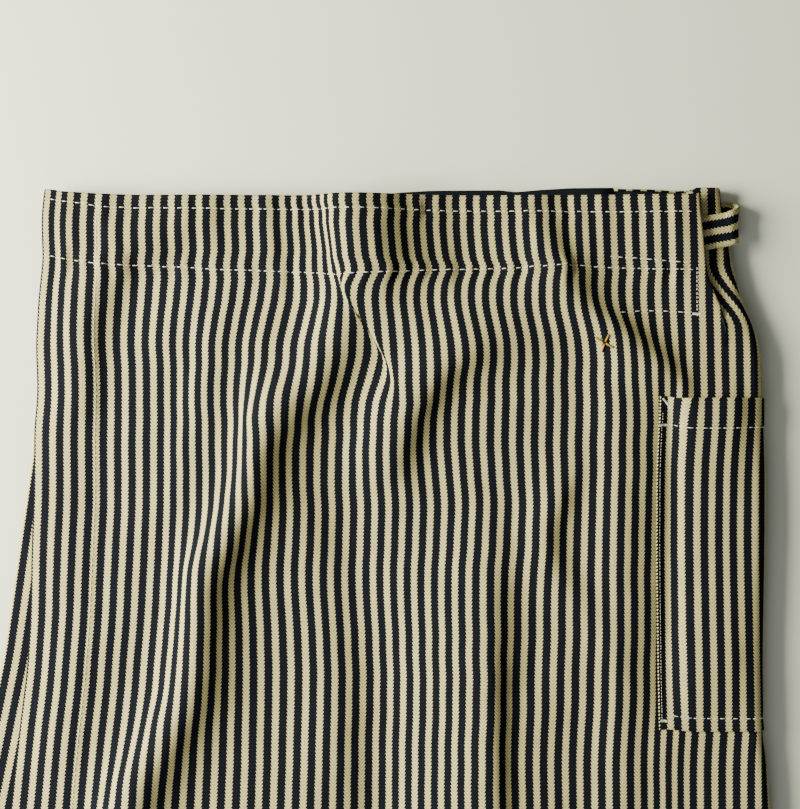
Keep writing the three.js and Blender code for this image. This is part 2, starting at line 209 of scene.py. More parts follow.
def plain_drill(name, low, high):
    """The drill's reverse: dark navy, with the weft floats showing as faint slanted ribs."""
    material, tree, out = new_material(name)
    uv = add(tree, "ShaderNodeUVMap", uv_map="UVMap").outputs[0]
    split = add(tree, "ShaderNodeSeparateXYZ", {0: uv})
    slanted = add(tree, "ShaderNodeMath", {0: split.outputs[0], 1: 0.8, 2: split.outputs[1]},
                  operation="MULTIPLY_ADD")
    rib = add(tree, "ShaderNodeMath", {0: slanted.outputs[0], 1: 1000 / TWILL_PITCH}, operation="MULTIPLY")
    rib_wave = add(tree, "ShaderNodeMath", {0: rib.outputs[0], 1: 0.5}, operation="PINGPONG")
    fuzz = add(tree, "ShaderNodeTexNoise", {"Vector": uv, "Scale": 1300, "Detail": 2})
    weave = add(tree, "ShaderNodeMath", {0: rib_wave.outputs[0], 1: fuzz.outputs["Fac"]}, operation="ADD")
    # The navy runs from darker in the rib valleys to lighter on the ribs, mixed with the yarn's fuzz: the
    # fuzz is the yarn's own, and the dark in the rib valleys is painted shade.
    colour = add(tree, "ShaderNodeMix", {0: weave.outputs[0], 6: linear(low), 7: linear(high)},
                 data_type="RGBA")
    relief = add(tree, "ShaderNodeBump", {"Height": weave.outputs[0], "Strength": 0.5, "Distance": 0.0002})
    shell = add(tree, "ShaderNodeBsdfPrincipled", {
        "Base Color": colour.outputs[2], "Roughness": 0.9, "Specular IOR Level": 0.05,
        "Normal": relief.outputs[0]})
    tree.links.new(shell.outputs[0], out.inputs[0])
    return material


drill = striped_drill("striped_cotton_drill", shift=-FIRST_STRIPE / STRIPE_PAIR)
drill_reverse = plain_drill("navy_drill_reverse", "#07090d", "#1b2027")


def ease(value, low, high):
    """0 below low, 1 above high, and a smooth rise in between."""
    t = np.clip((value - low) / (high - low), 0, 1)
    return t * t * (3 - 2 * t)


def lay_cloth(name, places, across, along, faces, cut=None, thickness=CLOTH_THICKNESS, inside_up=False):
    """A grid of cloth with its rows and columns put at places, in millimetres, then given its
    thickness. across and along are how far each point is into the flat cloth."""
    rows, columns = across.shape
    bpy.ops.object.select_all(action="DESELECT")
    bpy.ops.mesh.primitive_grid_add(x_subdivisions=columns - 1, y_subdivisions=rows - 1, size=1)
    piece = bpy.context.object
    piece.name = name
    mesh = piece.data
    flat = np.empty(len(mesh.vertices) * 3)
    mesh.vertices.foreach_get("co", flat)
    flat = flat.reshape(-1, 3)
    column = np.rint((flat[:, 0] + 0.5) * (columns - 1)).astype(int)
    row = np.rint((0.5 - flat[:, 1]) * (rows - 1)).astype(int)
    mesh.vertices.foreach_set("co", (places[row, column] * MM).ravel())
    corner = np.empty(len(mesh.loops), int)
    mesh.loops.foreach_get("vertex_index", corner)
    uv = np.stack([across[row, column], along[row, column]], -1)[corner] * MM
    mesh.uv_layers[0].name = "UVMap"
    mesh.uv_layers[0].data.foreach_set("uv", uv.ravel())
    bpy.ops.object.mode_set(mode="EDIT")
    bpy.ops.mesh.select_all(action="DESELECT")
    bpy.ops.object.mode_set(mode="OBJECT")
    if cut is not None:
        for face in mesh.polygons:
            corners = list(face.vertices)
            face.select = bool(cut[row[corners].min(), column[corners].min()])
    bpy.ops.object.mode_set(mode="EDIT")
    bpy.ops.mesh.select_mode(type="FACE")
    bpy.ops.mesh.delete(type="FACE")
    bpy.ops.mesh.select_mode(type="VERT")
    bpy.ops.mesh.select_all(action="SELECT")
    bpy.ops.mesh.remove_doubles(threshold=2e-5)
    if inside_up:
        bpy.ops.mesh.flip_normals()
    bpy.ops.object.mode_set(mode="OBJECT")
    for material in faces:
        mesh.materials.append(material)
    wall = piece.modifiers.new("wall", "SOLIDIFY")
    wall.thickness = thickness * MM
    wall.offset = -1
    wall.material_offset = len(faces) - 1
    wall.use_quality_normals = True
    bpy.ops.object.modifier_apply(modifier="wall")
    bpy.ops.object.shade_smooth()
    return piece


def nearest(u, v, line):
    """Distance to a line of (u, v, height) points, which side of it, and the height there."""
    distance = np.full(u.shape, 1e9)
    side = np.zeros(u.shape)
    height = np.zeros(u.shape)
    for (u0, v0, h0), (u1, v1, h1) in zip(line, line[1:]):
        du, dv = u1 - u0, v1 - v0
        t = np.clip(((u - u0) * du + (v - v0) * dv) / (du * du + dv * dv), 0, 1)
        to_u, to_v = u - u0 - t * du, v - v0 - t * dv
        far = np.hypot(to_u, to_v)
        closer = far < distance
        distance = np.where(closer, far, distance)
        side = np.where(closer, np.sign(to_u * dv - to_v * du), side)
        height = np.where(closer, h0 + (h1 - h0) * t, height)
    return distance, side, height


def soften(values, reach, axis):
    """Blurs values over a few grid steps along one axis."""
    weights = np.exp(-np.linspace(-2, 2, 2 * reach + 1) ** 2)
    weights /= weights.sum()
    padded = np.pad(values, [(reach, reach) if i == axis else (0, 0) for i in range(2)], mode="edge")
    size = values.shape[axis]
    return sum(w * np.take(padded, range(i, i + size), axis=axis) for i, w in enumerate(weights))


def ripples(u, v, seed, length, height, lean=1.0):
    """Shallow uneven waves, the same on every run. A lean under 1 keeps them nearer upright."""
    dice = np.random.RandomState(seed)
    total = 0
    for _ in range(16):
        angle = dice.uniform(-math.pi / 2, math.pi / 2) * lean
        wave = length * dice.uniform(0.6, 1.7)
        total = total + np.sin((u * math.cos(angle) + v * math.sin(angle)) * 2 * math.pi / wave
                               + dice.uniform(0, 6.28))
    return total * height / 4


# Each fold is a soft ridge or valley along a line on the flat cloth: (across, down, height), then
# how wide its left and right flanks are. All in millimetres.
FOLDS = [
    ([(203, 75, 4), (201, 85, 8), (195, 106, 12), (187, 123, 14), (175, 134, 15), (160, 148, 16),
      (152, 169, 16), (147, 190, 17), (138, 207, 17), (126, 228, 17), (118, 241, 17), (115, 266, 16),
      (113, 301, 15), (107, 326, 15), (94, 352, 14), (79, 377, 13), (48, 520, 10), (29, 700, 8),
      (20, 800, 8)], 20, 21),
    ([(152, 75, 3), (152, 93, 6), (154, 127, 7), (150, 150, 3)], 13, 28),
    ([(127, 60, 2), (119, 99, 4), (110, 128, 5), (100, 165, 4), (94, 200, 2)], 13, 30),
    ([(208, 0, 10), (212, 25, 11), (216, 50, 11), (220, 66, 10), (232, 90, 6), (240, 110, 2)], 20, 34),
    ([(234, -5, 9), (236, 23, 10), (239, 48, 9), (244, 66, 8), (248, 85, 5), (252, 100, 1)], 24, 32),
    ([(400, 80, 1), (361, 83, 5), (335, 86, 7), (313, 91, 9), (294, 98, 11), (278, 107, 12),
      (266, 122, 13), (255, 140, 13), (249, 156, 12), (244, 172, 8), (241, 190, 1)], 32, 17),
    ([(189, 56, 3), (193, 68, 7), (199, 80, 5), (200, 100, 1)], 16, 14),
    ([(276, 60, 4), (299, 66, 6), (328, 64, 6), (358, 52, 4)], 30, 18),
    ([(310, 125, 1), (312, 140, 4), (314, 174, 4), (312, 200, 1)], 30, 30),
    ([(304, 200, 1), (312, 235, 6), (311, 284, 10), (311, 317, 11), (314, 385, 11), (310, 520, 9),
      (300, 800, 8)], 42, 13),
    ([(212, 190, -2), (217, 216, -5), (226, 258, -5), (229, 309, -5), (236, 385, -5), (240, 600, -3)],
     17, 28),
    ([(345, 322, 3), (340, 391, 4), (332, 520, 5), (328, 800, 5)], 10, 26),
    ([(366, 168, 1), (362, 182, 3), (354, 195, 5), (346, 216, 5), (350, 236, 5), (361, 250, 4),
      (372, 263, 3), (386, 282, 1)], 16, 9),
    ([(350, 8, 3), (354, 31, 5), (360, 52, 6), (376, 71, 6), (388, 82, 7), (404, 95, 8), (421, 108, 9),
      (438, 124, 8), (446, 140, 3)], 18, 12),
    ([(397, 90, 2), (391, 128, 4), (392, 200, 5), (397, 322, 5), (400, 500, 4), (400, 800, 4)], 16, 18),
    ([(431, 130, -4), (431, 280, -4), (431, 330, -2)], 9, 9),
    ([(120, 26, -1), (102, 36, -3), (74, 50, -3), (61, 68, -3), (54, 94, -3), (50, 135, -2),
      (46, 190, -1)], 13, 26),
    ([(110, 8, 1), (94, 16, 2.5), (58, 30, 3), (40, 52, 3), (31, 88, 3), (27, 131, 2)], 18, 12),
    ([(456, -10, 4), (456, 44, 4), (458, 60, 2)], 42, 20),
]
# Where the waist fold laps over itself, and where the band is pulled in: the share of the width
# that is lost there, and how wide the place is.
PULLED_IN = [
    ([(203, 50, 0), (207, 55, 0.8), (214, 66, 1.3), (224, 84, 1.3), (236, 104, 1.1), (244, 120, 0.5),
      (247, 132, 0)], 5),
    ([(192, -10, 0.22), (196, 20, 0.26), (200, 48, 0.32), (203, 66, 0.25)], 17),
    ([(8, -10, 0.25), (8, 60, 0.2), (10, 110, 0)], 16),
    ([(280, -10, 0.08), (280, 70, 0.08)], 45),
    ([(370, -10, 0.10), (370, 60, 0.08)], 45),
]
# How far the cloth was tugged sideways when it was laid out, at places across and down it.
TUG_ACROSS = [0, 80, 155, 190, 230, 300, 385, 415, 450]
TUG_DOWN = [0, 40, 70, 100, 135, 200, 300, 400]
TUGS = [[-1, 1, -1, -7, -7, -5, -3, -1, 0],
        [-2, 0, -1, -5, -5, -3, -1, 0, 0],
        [-3, -2, -6, -5, -1, -2, -1, 0, 0],
        [-3, -2, -7, -7, -3, 1, 4, 2, 0],
        [0, 2, -4, -1, 0, 1, 6, 6, 0],
        [2, 5, 0, 0, 1, 1, 3, 4, 0],
        [3, 2, 2, 4, 4, 0, 4, 4, 0],
        [2, 3, 8, 9, 10, 6, 6, 6, 0]]
FRONT_REST = 15.2          # height of the flat front, over the layers under it
FRONT_LENGTH = 794
FRONT_COLUMNS, FRONT_ROWS = 138, 181
STEEPEST_ACROSS, STEEPEST_DOWN = 0.95, 0.9
EDGE_ROLL = 1.0            # radius of a turned edge
TURNED_EDGE = [-3.1, -2.3, -1.5, -0.7]   # how far past the edge the rows that go round it lie
HIP_STRIPE = FIRST_STRIPE + 48 * STRIPE_PAIR   # the navy stripe just inside the slit
CLOTH_END = 567            # where the front's cloth ends, under the back
UNDERSIDE = 2.3
BAND_DEPTH = 48
SIDE_BAND_LEVEL = 12.2      # the side's waist band lies lower, to leave room for the tie
SIDE_TOP, SIDE_BAND_TOP = 15.0, 12.4   # height of the side where it starts to turn under
SIDE_BAND_RAISED = 4.6      # how far its waist edge stands past the front's
SLIT_FOOT = 86
LIP_X = 236
PLEAT_DEPTH = 24            # cloth that is doubled back under the slit's lip
# Outlines, as (how far down from the waist, x).
LEFT_EDGE = [(0, -175.4), (6, -176.4), (29, -176.8), (43, -175.2), (80, -178), (131, -180.6), (150, -183.6),
             (188, -184.6), (233, -187), (271, -188), (309, -190.8), (347, -195.3), (391, -199.7),
             (800, -240.8)]
HIP_LINE = [(0, 235.3), (47, 236.5), (85, 237.6), (95, 238.2), (330, 238.2), (360, 236), (800, 238)]
LIP = [(0, 454.1), (47, 457.7), (57, 459.8), (67, 465.4), (86, 471.6)]
RIGHT_OUTLINE = [(0, 254.4), (6, 254.4), (32, 260), (43, 261.4), (58, 264.6), (71, 269), (86, 276.8),
                 (100, 280.8), (131, 281), (150, 281.4), (176, 282.4), (220, 282.2), (290, 280.8),
                 (341, 281), (360, 284), (391, 286.2), (600, 294), (800, 304)]
WAIST_LINE = [(-176, 398.6), (-165, 396.8), (-144, 395.4), (-122, 394.6), (113, 394.0), (240, 394.8)]


def outline(points, v):
    """The value of an outline at v, with its corners rounded off."""
    steps = np.linspace(-10, 10, 9)
    levels = [np.interp(v + step, *zip(*points)) for step in steps]
    return sum(levels) / len(steps)


def back_lift(x, y):
    """How far the back is raised where the tie and the pocket go under it."""
    over_pocket = ease(x, 205, 232) * ease(y, 44, 58) * (1 - ease(y, 264, 280))
    over_tie = ease(x, -170, -150) * ease(y, 352, 362) * (1 - ease(y, 386, 396))
    return -1.0 + 1.0 * np.maximum(over_pocket, over_tie)


def lay_front():
    """Works out where each point of the front's cloth lies. Returns across, down and places."""
    flat_u = np.linspace(0, HIP_STRIPE, FRONT_COLUMNS)
    flat_v = np.linspace(0, FRONT_LENGTH, FRONT_ROWS)
    step_u, step_v = flat_u[1], flat_v[1]
    u, v = np.meshgrid(flat_u, flat_v)
    rise = 0
    for line, left, right in FOLDS:
        distance, side, height = nearest(u, v, line)
        rise = rise + height * np.exp(-(distance / np.where(side < 0, left, right)) ** 2)
    rise = soften(soften(rise, 2, 0), 2, 1)
    # Waves too small to be folds, calmer near the free edge, and puckers along the sewn rows.
    rise = rise + ripples(u, v, 3, 90, 0.9, 0.6) + ripples(u, v, 5, 34, 0.22)
    row_low = np.interp(u, *zip(*LOWER_ROW))
    row_high = np.interp(u, *zip(*UPPER_ROW))
    pucker = ripples(u, v * 0.12, 7, 12, 1.1, 0.3)
    below = np.where(v > row_low, 10, 6)
    near_row = np.exp(-((v - row_low) / below) ** 2) + 0.7 * np.exp(-((v - row_high) / 5) ** 2)
    rise = rise + near_row * (pucker - 0.35) + 0.8 * (1 - ease(v, row_low + 0.5, row_low + 5))
    rise = rise + ripples(u, v * 0.35, 15, 21, 0.4, 0.4) * (1 - ease(v, 40, 75))
    hem_row = np.interp(v, *zip(*HEM_ROW))
    side_pucker = ripples(v, u * 0.15, 9, 15, 0.35, 0.3)
    rise = rise + np.exp(-((u - hem_row) / 3) ** 2) * (side_pucker - 0.35)
    rise = rise + 1.0 * (1 - ease(u, hem_row, hem_row + 3.4)) * ease(v, row_low, row_low + 8)
    # The free edge and the waist edge lie a little lower than the rest.
    rise = rise - 3.2 * (1 - ease(u, -6, 26)) - 1.5 * (1 - ease(v, -4, 14))
    slope_u = np.clip(np.gradient(rise, step_u, axis=1), -STEEPEST_ACROSS, STEEPEST_ACROSS)
    slope_v = np.clip(np.gradient(rise, step_v, axis=0), -STEEPEST_DOWN, STEEPEST_DOWN)
    advance = np.sqrt(1 - slope_u ** 2)
    for line, width in PULLED_IN:
        distance, side, share = nearest(u, v, line)
        advance = advance - share * np.exp(-(distance / width) ** 2)
    start = outline(LEFT_EDGE, flat_v)[:, None]
    travelled = np.cumsum((advance[:, 1:] + advance[:, :-1]) / 2 * step_u, axis=1)
    x = start + np.concatenate([np.zeros((len(flat_v), 1)), travelled], axis=1)
    # What is left over between the free edge and the hip is shared out over the width.
    spare = outline(HIP_LINE, flat_v) - x[:, -1]
    x = x + spare[:, None] * u / HIP_STRIPE
    levels = np.array([np.interp(flat_u, TUG_ACROSS, row) for row in TUGS])
    tug = np.array([np.interp(flat_v, TUG_DOWN, levels[:, i]) for i in range(len(flat_u))]).T
    x = x + soften(soften(tug, 4, 0), 4, 1)
    down = np.cumsum((np.sqrt(1 - slope_v ** 2)[1:] + np.sqrt(1 - slope_v ** 2)[:-1]) / 2 * step_v, axis=0)
    down = down * (FRONT_LENGTH / down[-1])
    y = np.interp(x[0], *zip(*WAIST_LINE)) - np.concatenate([np.zeros((1, len(flat_u))), down])
    z = FRONT_REST + rise

    # The side: past the hip stripe the cloth reaches the slit's lip, doubles back under it in a
    # pleat that tapers out below the slit, comes forward again, and turns under at the side.
    hidden = PLEAT_DEPTH * (1 - ease(flat_v, BAND_DEPTH, SLIT_FOOT))
    lip_u = outline(LIP, flat_v)
    lip_x = x[:, -1] + (lip_u - HIP_STRIPE)
    lift = SIDE_BAND_RAISED * (1 - ease(flat_v, BAND_DEPTH - 6, SLIT_FOOT + 10))
    columns = []
    for share in np.linspace(0, 1, 7)[1:]:
        columns.append((HIP_STRIPE + (lip_u - HIP_STRIPE) * share, x[:, -1] + (lip_x - x[:, -1]) * share,
                        z[:, -1] - 0.3 * share ** 2, 0 * lift))
    lip_z = columns[-1][2]
    in_slit = 1 - ease(flat_v, BAND_DEPTH - 4, BAND_DEPTH + 22)
    fall = 3.6 * ease(hidden, 0, 7) * (1 - in_slit) + (lip_z - SIDE_BAND_LEVEL) * in_slit
    crease = np.minimum(fall / 4, 0.9)
    for angle in (0.25, 0.5, 0.75, 1):
        turn = math.pi * angle
        columns.append((lip_u + hidden * 0.12 * angle, lip_x + crease * math.sin(turn),
                        lip_z - crease * (1 - math.cos(turn)), lift * 0.25 * angle))
    for share in (0.5, 1):
        columns.append((lip_u + hidden * (0.12 + 0.38 * share), lip_x - hidden * 0.4 * share,
                        lip_z - 2 * crease - (fall - 4 * crease) * share, lift * 0.25))
    for angle in (0.33, 0.66, 1):
        turn = math.pi * angle
        columns.append((lip_u + hidden * (0.5 + 0.12 * angle),
                        lip_x - hidden * 0.4 - crease * math.sin(turn),
                        lip_z - fall + crease * (1 + math.cos(turn)), lift * 0.25))
    for share in (0.33, 0.66, 1):
        columns.append((lip_u + hidden * (0.62 + 0.38 * share), lip_x - hidden * 0.4 * (1 - share),
                        lip_z - fall, lift * (0.25 + 0.75 * share ** 3)))
    side_start = len(columns)
    out_x = outline(RIGHT_OUTLINE, flat_v)
    start_z = lip_z - fall
    curl_top = SIDE_TOP - (SIDE_TOP - SIDE_BAND_TOP) * (1 - ease(flat_v, 52, 105))
    radius = (curl_top - UNDERSIDE) / 2
    run = CLOTH_END - lip_u - hidden
    straight = out_x - radius - lip_x
    turns = [0 * out_x] * len(columns)
    for share in np.linspace(0, 1, 31)[1:]:
        s = run * share
        turn = np.clip((s - straight) / radius, 0, math.pi)
        beyond = np.maximum(s - straight - math.pi * radius, 0)
        slide = ease(np.minimum(s, straight), 0, np.maximum(straight, 1))
        columns.append((lip_u + hidden + s,
                        lip_x + np.minimum(s, straight) + radius * np.sin(turn) - beyond,
                        start_z + (curl_top - start_z) * slide - radius * (1 - np.cos(turn)),
                        lift))
        turns.append(turn)
    side = np.array(columns)
    u = np.concatenate([u, side[:, 0].T], axis=1)
    v = np.concatenate([v, np.repeat(flat_v[:, None], len(columns), axis=1)], axis=1)
    x = np.concatenate([x, side[:, 1].T], axis=1)
    wave = ripples(side[:, 0].T, v[:, :len(columns)], 13, 60, 0.5, 0.6)
    fade = np.array([min(1, max(0, (i - side_start) / 6)) for i in range(len(columns))])
    turned_side = np.concatenate([np.zeros((len(flat_v), len(flat_u))), np.array(turns).T], axis=1)
    z = np.concatenate([z, side[:, 2].T + wave * fade * 0.35 * (1 + np.cos(np.array(turns).T))], axis=1)
    y = np.concatenate([y, y[:, -1:] + side[:, 3].T], axis=1)
    under = ease(np.arange(len(columns)), side_start + 10, side_start + 18)
    under = under * (side[:, 2].T < UNDERSIDE + 0.3)
    # The waist edge under the slit's lip lies a little lower, so that it stays hidden by the lip.
    side_x = x[:, len(flat_u):]
    near_lip = np.exp(-((side_x - LIP_X) / 16) ** 2)
    y[:, len(flat_u):] -= 2.4 * near_lip * under * (lift / SIDE_BAND_RAISED)[:, None]
    z[:, len(flat_u):] += back_lift(x[:, len(flat_u):], y[:, len(flat_u):]) * under

    # Turned edges: extra rows and columns that go round under the cloth.
    def grow(values, before, after, axis):
        first = np.take(values, [0] * before, axis=axis)
        last = np.take(values, [-1] * after, axis=axis)
        return np.concatenate([first, values, last], axis=axis)
    extra = len(TURNED_EDGE)
    u, v, x, y, z, turned_side = (grow(grow(a, extra, extra, 0), extra, 0, 1)
                                  for a in (u, v, x, y, z, turned_side))
    for i, t in enumerate(TURNED_EDGE):
        turn = -t / EDGE_ROLL
        bulge, drop = EDGE_ROLL * math.sin(turn), EDGE_ROLL * (1 - math.cos(turn))
        near_corner = ease(u[i], -6, 3)
        bulge = bulge * near_corner
        for row, way in ((i, 1), (-1 - i, -1)):
            v[row] += t * way
            y[row] += bulge * way
            z[row] -= drop * np.cos(turned_side[row])
            x[row] -= drop * np.sin(turned_side[row])
        u[:, i] += t
        x[:, i] -= EDGE_ROLL * math.sin(turn) * ease(v[:, i], -6, 3)
        z[:, i] -= drop
    return u, v, np.stack([x, y, z], -1), extra, len(flat_u)


# Sewn rows, as (across, down): two along the waist band, one down the edge hem.
UPPER_ROW = [(0, 5.4), (28, 6), (40, 7.6), (200, 8.6), (330, 9.4), (452, 10.6)]
LOWER_ROW = [(0, 41.3), (40, 44), (175, 48.5), (205, 50.6), (290, 46.6), (375, 44.8), (452, 47.6)]
HEM_ROW = [(0, 38.4), (400, 38.2), (800, 38.4)]

front_u, front_v, front_places, turned_count, flat_count = lay_front()
rows, columns = front_u.shape
slit = np.zeros((rows - 1, columns - 1), bool)
pleat_start = turned_count + flat_count + 6
in_band = front_v[:-1, 0] < BAND_DEPTH
slit[:, pleat_start + 2:pleat_start + 9] = in_band[:, None]
front = lay_cloth("front_cloth", front_places, front_u, front_v, [drill, drill_reverse], cut=slit)
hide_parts("front_flap_panel", "front_panel", "side_panel", "side_band", "right_side_fold",
            "right_waist_fold", "slit_patch")
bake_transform(front)


def surface(u, v, places):
    """A laid cloth with the outward direction at each of its points."""
    out = np.cross(np.gradient(places, axis=0), np.gradient(places, axis=1))
    return u, v, places, out / (np.linalg.norm(out, axis=-1, keepdims=True) + 1e-9)


def on_cloth(cloth, u, v, lift=0.0):
    """The points on a laid cloth at (across, down), raised off its face by lift."""
    grid_u, grid_v, places, out = cloth
    u, v, lift = np.broadcast_arrays(np.asarray(u, float), np.asarray(v, float), np.asarray(lift, float))
    u, v, shape, lift = u.ravel(), v.ravel(), u.shape, lift.ravel()
    row_v = grid_v[:, 0]
    row = np.clip(np.searchsorted(row_v, v) - 1, 0, len(row_v) - 2)
    part = np.clip((v - row_v[row]) / (row_v[row + 1] - row_v[row]), 0, 1)
    found = np.zeros((u.size, 3))
    for index in np.unique(row):
        here = row == index
        for near, weight in ((index, 1 - part[here]), (index + 1, part[here])):
            for axis in range(3):
                place = np.interp(u[here], grid_u[near], places[near, :, axis])
                away = np.interp(u[here], grid_u[near], out[near, :, axis])
                found[here, axis] += weight * (place + away * lift[here])
    return found.reshape(shape + (3,))


def across_at(v, x):
    """How far across the front's flat cloth the point is that lies at x, v down from the waist."""
    flat_columns = slice(turned_count, turned_count + flat_count + 6)
    found = []
    for down, place in zip(np.ravel(v), np.ravel(x)):
        row = int(np.argmin(np.abs(front_v[:, 0] - down)))
        found.append(np.interp(place, np.maximum.accumulate(front_places[row, flat_columns, 0]),
                               front_u[row, flat_columns]))
    return np.array(found)


front_face = surface(front_u, front_v, front_places)


# The back and the inner wrap: the same wide cloth going on under the back, round the left side
# and in again over the place for the wearer's body, to its own hemmed edge under the front. A navy
# facing runs along the inside of its waist.
LEFT_OUTLINE = [(0, -172), (160, -186), (295, -205), (800, -305)]
BACK_WAIST = [(-305, 396), (-172, 396), (0, 392.5), (15, 393.6), (45, 397.8), (70, 399.3), (118, 399.6),
              (124, 398.2), (136, 399.6), (160, 401), (190, 401.2), (255, 399)]
INNER_LEVEL = 9.4
INNER_TOP = 391
FOLD_TOP, FOLD_TOP_X = 395.5, -150   # the waist's height at the left fold, and where the fold begins
INNER_END = 150
BACK_LENGTH = 800
BACK_WIDTH = 380


def lay_back():
    """Works out where each point of the back and inner wrap lies."""
    flat_v = np.linspace(0, BACK_LENGTH, 101)
    left_x = outline(LEFT_OUTLINE, flat_v)
    radius = (INNER_LEVEL - UNDERSIDE) / 2
    start_x = np.interp(flat_v, front_v[:, -1], front_places[:, -1, 0]) - 0.4
    columns = []
    for share in np.linspace(0, 1, 40):
        x = start_x + (left_x + radius - start_x) * share
        columns.append((CLOTH_END + BACK_WIDTH * share + 0 * x, x, UNDERSIDE + 0 * x, 0 * x))
    fold_u = CLOTH_END + BACK_WIDTH
    for angle in np.linspace(0, 1, 9)[1:]:
        turn = math.pi * angle
        columns.append((fold_u + radius * turn + 0 * left_x, left_x + radius - radius * math.sin(turn),
                        UNDERSIDE + radius * (1 - math.cos(turn)) + 0 * left_x, angle + 0 * left_x))
    inner_u = fold_u + radius * math.pi
    for share in np.linspace(0, 1, 46)[1:]:
        run = (INNER_END - left_x - radius) * share
        columns.append((inner_u + run, left_x + radius + run, INNER_LEVEL + 0 * run, 1 + 0 * run))
    grid = np.array(columns).transpose(2, 0, 1)
    u, x, z, inner = (grid[..., i] for i in range(4))
    v = np.repeat(flat_v[:, None], u.shape[1], axis=1)
    top = np.interp(x, *zip(*BACK_WAIST)) * (1 - inner) + INNER_TOP * inner
    top = np.where(x < FOLD_TOP_X, FOLD_TOP, top)
    y = top - v * (top + 400) / BACK_LENGTH
    under = inner < 0.01
    z = z + np.where(under, back_lift(x, y), 0)
    calm = ease(x, left_x[:, None] + 2, left_x[:, None] + 40)
    z = z + np.where(inner > 0.99, ripples(u, v, 21, 110, 0.6, 0.7) * calm, 0)
    return u, v, np.stack([x, y, z], -1)


back_u, back_v, back_places = lay_back()
back = lay_cloth("inner_wrap_cloth", back_places, back_u, back_v, [drill, drill_reverse])
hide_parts("back_panel", "inner_wrap_panel", "left_side_fold")
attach(back, "garment")
back_face = surface(back_u, back_v, back_places)

# Facings and hems: a navy strip lies along the inside of the waist, and the free edges and the
# bottom are turned in. All of them are drill, pressed flat and sewn down through the outer cloth.
FACING = 50
HEM = 38
INSIDE = -1.15             # the outer cloth's thickness and a little air
back_fold_u = CLOTH_END + BACK_WIDTH
inner_start_u = back_fold_u + (INNER_LEVEL - UNDERSIDE) / 2 * math.pi


def turn_in(name, cloth, start_u, end_u, start_v, end_v, step, thickness=0.7):
    """A strip that lies against the inside of a cloth, between two lines across and two down.
    start_u and end_u may change down the cloth."""
    downs = np.linspace(start_v, end_v, max(3, round((end_v - start_v) / step)))
    first = np.interp(downs, *zip(*start_u)) if isinstance(start_u, list) else start_u + 0 * downs
    last = np.interp(downs, *zip(*end_u)) if isinstance(end_u, list) else end_u + 0 * downs
    count = max(4, round(float(np.max(last - first)) / step))
    u = first[:, None] + (last - first)[:, None] * np.linspace(0, 1, count)
    v = np.repeat(downs[:, None], count, axis=1)
    return lay_cloth(name, on_cloth(cloth, u, v, INSIDE), u, v, [drill_reverse], thickness=thickness)


inner_edge = [(v, inner_start_u + INNER_END - left - (INNER_LEVEL - UNDERSIDE) / 2 - 0.5)
              for v, left in zip(back_v[:, 0], outline(LEFT_OUTLINE, back_v[:, 0]))]
inner_hem_line = [(v, edge - HEM) for v, edge in inner_edge]
FRONT_TRIMS = [
    ("front_waist_facing_cloth", (1.5, 452, 0.6, FACING),
     ["front_flap_waist_facing", "front_waist_facing"]),
    ("flap_edge_hem_cloth", (1.5, HEM, FACING + 1, 755), ["front_flap_edge_hem"]),
    ("front_bottom_hem_cloth", (1.5, 560, 756, 793.4), ["front_flap_bottom_hem", "front_bottom_hem"]),
    ("side_band_facing_cloth", (484, 560, 0.6, FACING - 4), ["side_band_facing"]),
]
BACK_TRIMS = [
    ("back_waist_facing_cloth", (568, back_fold_u - 2, 0.6, FACING), ["back_waist_facing"]),
    ("inner_wrap_facing_cloth", (inner_start_u + 1, inner_edge, 0.6, FACING), ["inner_wrap_waist_facing"]),
    ("back_bottom_hem_cloth", (568, back_fold_u - 2, 762, 799.4), ["back_bottom_hem"]),
    ("inner_wrap_bottom_hem_cloth", (inner_start_u + 1, inner_edge, 762, 799.4), ["inner_wrap_bottom_hem"]),
    ("inner_wrap_edge_hem_cloth", (inner_hem_line, inner_edge, FACING + 1, 761), ["inner_wrap_edge_hem"]),
]
for name, (start_u, end_u, start_v, end_v), nodes in FRONT_TRIMS:
    strip = turn_in(name, front_face, start_u, end_u, start_v, end_v, 5)
    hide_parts(*nodes)
    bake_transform(strip)
for name, (start_u, end_u, start_v, end_v), nodes in BACK_TRIMS:
    strip = turn_in(name, back_face, start_u, end_u, start_v, end_v, 9)
    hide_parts(*nodes)
    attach(strip, "garment")

# The tie: a flat cotton strap with woven lengthwise stripes, sewn to the inner wrap's corner. It
# comes out through the slit, passes round the side and runs on under the back.
TIE_STRAP = 21.5
TIE_THICK = 1.2
TIE_TURN_X = 259.5
TIE_TOP, TIE_UNDER = 14.3, 1.35
TIE_ROUTE = [(112, 368, 10.9), (160, 368, 11.2), (205, 368.4, 11.6), (228, 369, 12.9), (240, 370, 14.1),
             (249, 371.8, 14.5)]
TIE_RETURN = [(240, 381.5, TIE_UNDER), (200, 380, TIE_UNDER), (120, 377, TIE_UNDER), (40, 375, TIE_UNDER),
              (-60, 374, TIE_UNDER), (-150, 374, TIE_UNDER)]
tie_radius = (TIE_TOP - TIE_UNDER) / 2
bend = [(TIE_TURN_X + tie_radius * math.sin(a), 373.6 + 7.9 * a / math.pi,
         TIE_TOP - tie_radius * (1 - math.cos(a))) for a in np.linspace(0, math.pi, 15)]
corners = np.array(TIE_ROUTE + bend + TIE_RETURN)
knots = np.concatenate([[0], np.cumsum(np.linalg.norm(np.diff(corners, axis=0), axis=1))])
steps = np.unique(np.concatenate([np.arange(0, knots[-1], 5), knots, [knots[-1]],
                                  np.linspace(knots[4], knots[20], 50)]))
middle = np.stack([np.interp(steps, knots, corners[:, axis]) for axis in range(3)], -1)
middle = soften(middle, 1, 0)
along = np.gradient(middle, axis=0)
along /= np.linalg.norm(along, axis=1, keepdims=True)
width_way = np.array([0, -1.0, 0]) - along * (-along[:, 1:2])
